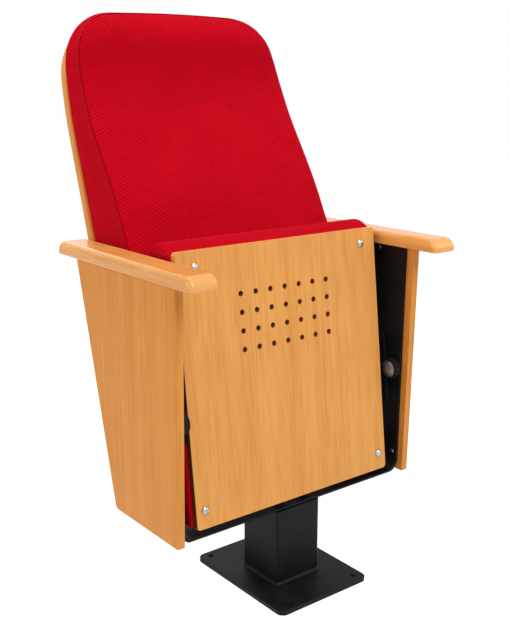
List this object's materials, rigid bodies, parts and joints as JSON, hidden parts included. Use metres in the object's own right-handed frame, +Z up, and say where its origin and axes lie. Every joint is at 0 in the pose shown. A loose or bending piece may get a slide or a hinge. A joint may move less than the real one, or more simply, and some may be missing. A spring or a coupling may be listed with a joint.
{
  "type": "tip up auditorium seat",
  "caption": "Tip-up auditorium seat on a floor pedestal: folding upholstered seat with perforated wooden underside, high upholstered back, wooden side panels and armrests.",
  "frame": {"origin": "middle of the floor plate's underside, on the floor", "axes": "+Z up, the sitter faces -Y, +X to the sitter's left"},
  "size_m": [0.578, 0.4938, 1.018],
  "materials": {
    "powder_coated_steel": "black powder coat, fine texture, satin",
    "beech_panel": "beech veneer, straight vertical grain, satin varnish",
    "beech_solid": "solid beech, varnished, rounded edges",
    "inner_plywood": "bare plywood",
    "red_fabric": "red woven upholstery over moulded foam",
    "zinc_screws": "bright zinc plate",
    "turned_steel": "turned, bright",
    "spring_steel": "blued spring strip",
    "chrome_cap": "polished chrome plate",
    "nylon_bush": "moulded nylon",
    "rubber_buffer": "black rubber",
    "felt": "black acoustic felt",
    "webbing": "black woven webbing"
  },
  "bodies": {
    "stand": {"base_plate": "powder_coated_steel", "column": "powder_coated_steel", "foot_weld": "powder_coated_steel", "column_head": "powder_coated_steel", "cradle": "powder_coated_steel", "back_bracket_right": "powder_coated_steel", "back_bracket_left": "powder_coated_steel", "back_shell": "beech_panel", "side_panel_right": "beech_panel", "side_panel_left": "beech_panel", "armrest_right": "beech_solid", "armrest_left": "beech_solid", "armrest_dowels_right": "beech_solid", "armrest_dowels_left": "beech_solid", "back_board": "inner_plywood", "back_cushion": "red_fabric", "cradle_bolts": "zinc_screws", "shell_screws": "zinc_screws", "panel_screws_right": "zinc_screws", "panel_screws_left": "zinc_screws", "bracket_bolts_right": "zinc_screws", "bracket_bolts_left": "zinc_screws", "pivot_pin_right": "turned_steel", "pivot_pin_left": "turned_steel", "stop_pin_right": "turned_steel", "stop_pin_left": "turned_steel", "return_spring_right": "spring_steel", "return_spring_left": "spring_steel", "pivot_cap_right": "chrome_cap", "pivot_cap_left": "chrome_cap", "stop_buffer_right": "rubber_buffer", "stop_buffer_left": "rubber_buffer"},
    "seat": {"seat_panel": "beech_panel", "seat_panel_screws": "zinc_screws", "seat_felt": "felt", "seat_frame": "inner_plywood", "seat_webbing": "webbing", "seat_cushion": "red_fabric", "hinge_plate_right": "powder_coated_steel", "hinge_plate_left": "powder_coated_steel", "hinge_bush_right": "nylon_bush", "hinge_bush_left": "nylon_bush", "hinge_bolts_right": "zinc_screws", "hinge_bolts_left": "zinc_screws", "spring_cup_right": "powder_coated_steel", "spring_cup_left": "powder_coated_steel"}
  },
  "joints": [
    {"name": "seat_tip", "type": "hinge", "parent": "stand", "child": "seat", "pos_m": [0, -0.0344, 0.36], "axis": [1, 0, 0], "range_deg": [0, 92], "stiffness_Nm_per_rad": 1.4, "springref_deg": -60.16}
  ]
}
